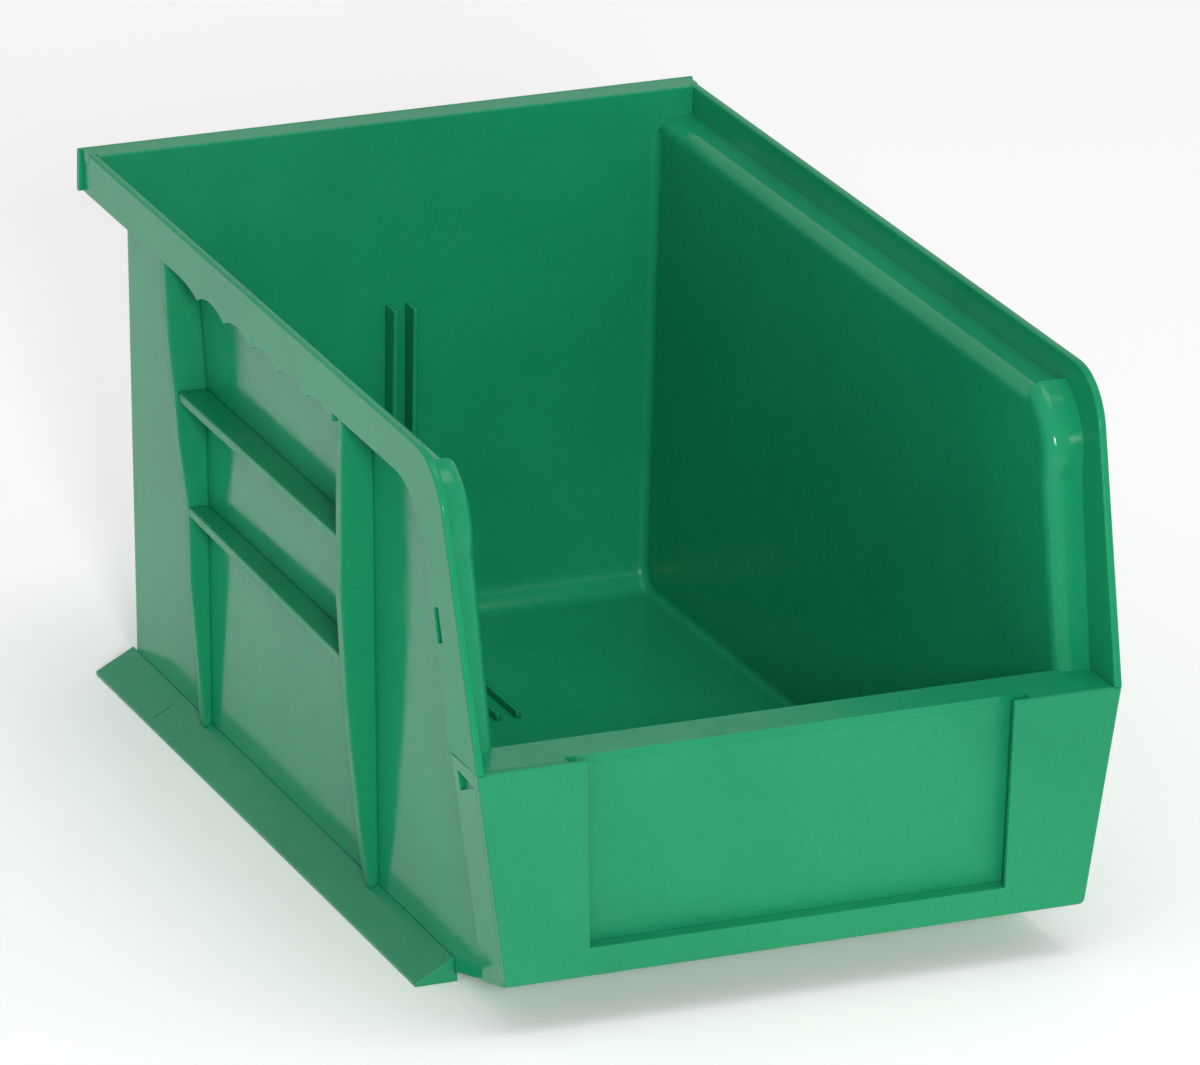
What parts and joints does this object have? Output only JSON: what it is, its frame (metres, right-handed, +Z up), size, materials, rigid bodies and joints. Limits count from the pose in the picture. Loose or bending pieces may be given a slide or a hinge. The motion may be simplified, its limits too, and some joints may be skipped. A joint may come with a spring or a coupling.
{
  "type": "stackable storage bin",
  "caption": "Open-top storage bin with a cut-down hopper front, a label recess, ribbed side walls, stacking ledges inside the side rims and a lip along the rear rim for hanging.",
  "frame": {"origin": "centre of the bounding box in plan, on the ground plane the feet stand on", "axes": "+X to the right seen from the front, +Y towards the back wall and its hang lip, +Z up"},
  "size_m": [0.1522, 0.235, 0.123],
  "materials": {
    "polypropylene": "injection-moulded polypropylene, satin gloss, opaque mid green"
  },
  "bodies": {
    "root": {"back_wall": "polypropylene", "floor_panel": "polypropylene", "floor_ramp": "polypropylene", "front_inner_wall": "polypropylene", "front_panel": "polypropylene", "front_shelf": "polypropylene", "hang_lip": "polypropylene", "label_back_plate": "polypropylene", "label_frame_rail": "polypropylene", "left_back_wall_guide": "polypropylene", "left_cheek_web": "polypropylene", "left_floor_guide": "polypropylene", "left_foot_rail": "polypropylene", "left_front_cheek": "polypropylene", "left_front_flange": "polypropylene", "left_front_gusset": "polypropylene", "left_lower_shelf_rib": "polypropylene", "left_rear_gusset": "polypropylene", "left_rim_ledge": "polypropylene", "left_rim_lip": "polypropylene", "left_side_wall": "polypropylene", "left_upper_shelf_rib": "polypropylene", "rear_rim_flange": "polypropylene", "rear_rim_rail": "polypropylene", "right_back_wall_guide": "polypropylene", "right_cheek_web": "polypropylene", "right_floor_guide": "polypropylene", "right_foot_rail": "polypropylene", "right_front_cheek": "polypropylene", "right_front_flange": "polypropylene", "right_front_gusset": "polypropylene", "right_lower_shelf_rib": "polypropylene", "right_rear_gusset": "polypropylene", "right_rim_ledge": "polypropylene", "right_rim_lip": "polypropylene", "right_side_wall": "polypropylene", "right_upper_shelf_rib": "polypropylene"}
  },
  "joints": []
}
